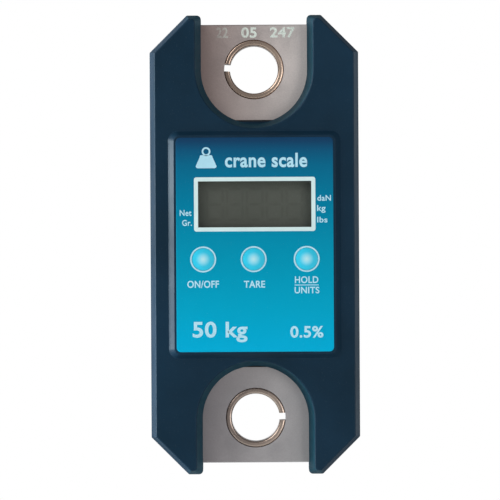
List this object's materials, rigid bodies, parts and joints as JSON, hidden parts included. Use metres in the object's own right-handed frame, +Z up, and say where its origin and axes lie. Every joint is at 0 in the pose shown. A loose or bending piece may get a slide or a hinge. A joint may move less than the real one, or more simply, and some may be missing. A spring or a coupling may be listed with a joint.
{
  "type": "crane scale",
  "caption": "Hand-size hanging scale: flat metal link with an eye at each end, in a plastic casing with display, push keys and battery door.",
  "frame": {"origin": "centre of the top eye's bush bore, on the mid-plane of the load cell", "axes": "+Z up along the load line from the bottom eye to the top eye, -Y out of the display side, +X to the right as the display is read"},
  "size_m": [0.07, 0.0284, 0.154],
  "materials": {
    "case_plastic": "fine moulded texture",
    "cell_metal": "satin, fine grain",
    "bush_steel": "bright spring steel",
    "overlay_film": "printed film, semi gloss",
    "clear_window": "clear",
    "display_glass": "reflective liquid crystal panel",
    "key_plastic": "smooth",
    "black_plastic": "moulded",
    "white_plastic": "moulded",
    "board_laminate": "solder mask",
    "tinned_metal": "tin plated",
    "capacitor_body": "smooth",
    "gauge_foil": "polyimide film",
    "black_rubber": "soft",
    "battery_jacket": "shrink sleeve",
    "wire_sheath": "smooth",
    "screw_steel": "zinc plated"
  },
  "bodies": {
    "casing": {"front_cover": "case_plastic", "rear_cover": "case_plastic", "load_cell": "cell_metal", "top_bush": "bush_steel", "bottom_bush": "bush_steel", "faceplate": "overlay_film", "lcd_window": "clear_window", "lcd_glass": "display_glass", "lcd_holder": "black_plastic", "key_switches": "black_plastic", "main_board": "board_laminate", "microcontroller": "black_plastic", "converter_chip": "black_plastic", "crystal": "tinned_metal", "capacitors": "capacitor_body", "gauge_connector": "white_plastic", "gauge_wires": "wire_sheath", "zebra_strips": "black_rubber", "strain_gauges": "gauge_foil", "gauge_sealant": "black_rubber", "cell_seals": "black_rubber", "battery_left": "battery_jacket", "battery_right": "battery_jacket", "contact_plates": "tinned_metal", "contact_springs": "tinned_metal", "battery_leads": "wire_sheath", "link_wire": "wire_sheath", "case_screws": "screw_steel", "board_screws": "screw_steel", "cell_screws": "screw_steel"},
    "battery_lid": {"battery_door": "case_plastic"},
    "on_off": {"key_on_off": "key_plastic"},
    "tare": {"key_tare": "key_plastic"},
    "hold_units": {"key_hold_units": "key_plastic"}
  },
  "joints": [
    {"name": "battery_door_hinge", "type": "hinge", "parent": "casing", "child": "battery_lid", "pos_m": [0, 0.01205, -0.033], "axis": [1, 0, 0], "range_deg": [0, 90]},
    {"name": "on_off_press", "type": "slide", "parent": "casing", "child": "on_off", "axis": [0, 1, 0], "range_m": [0, 0.0004], "stiffness_N_per_m": 900},
    {"name": "tare_press", "type": "slide", "parent": "casing", "child": "tare", "axis": [0, 1, 0], "range_m": [0, 0.0004], "stiffness_N_per_m": 900},
    {"name": "hold_units_press", "type": "slide", "parent": "casing", "child": "hold_units", "axis": [0, 1, 0], "range_m": [0, 0.0004], "stiffness_N_per_m": 900}
  ]
}
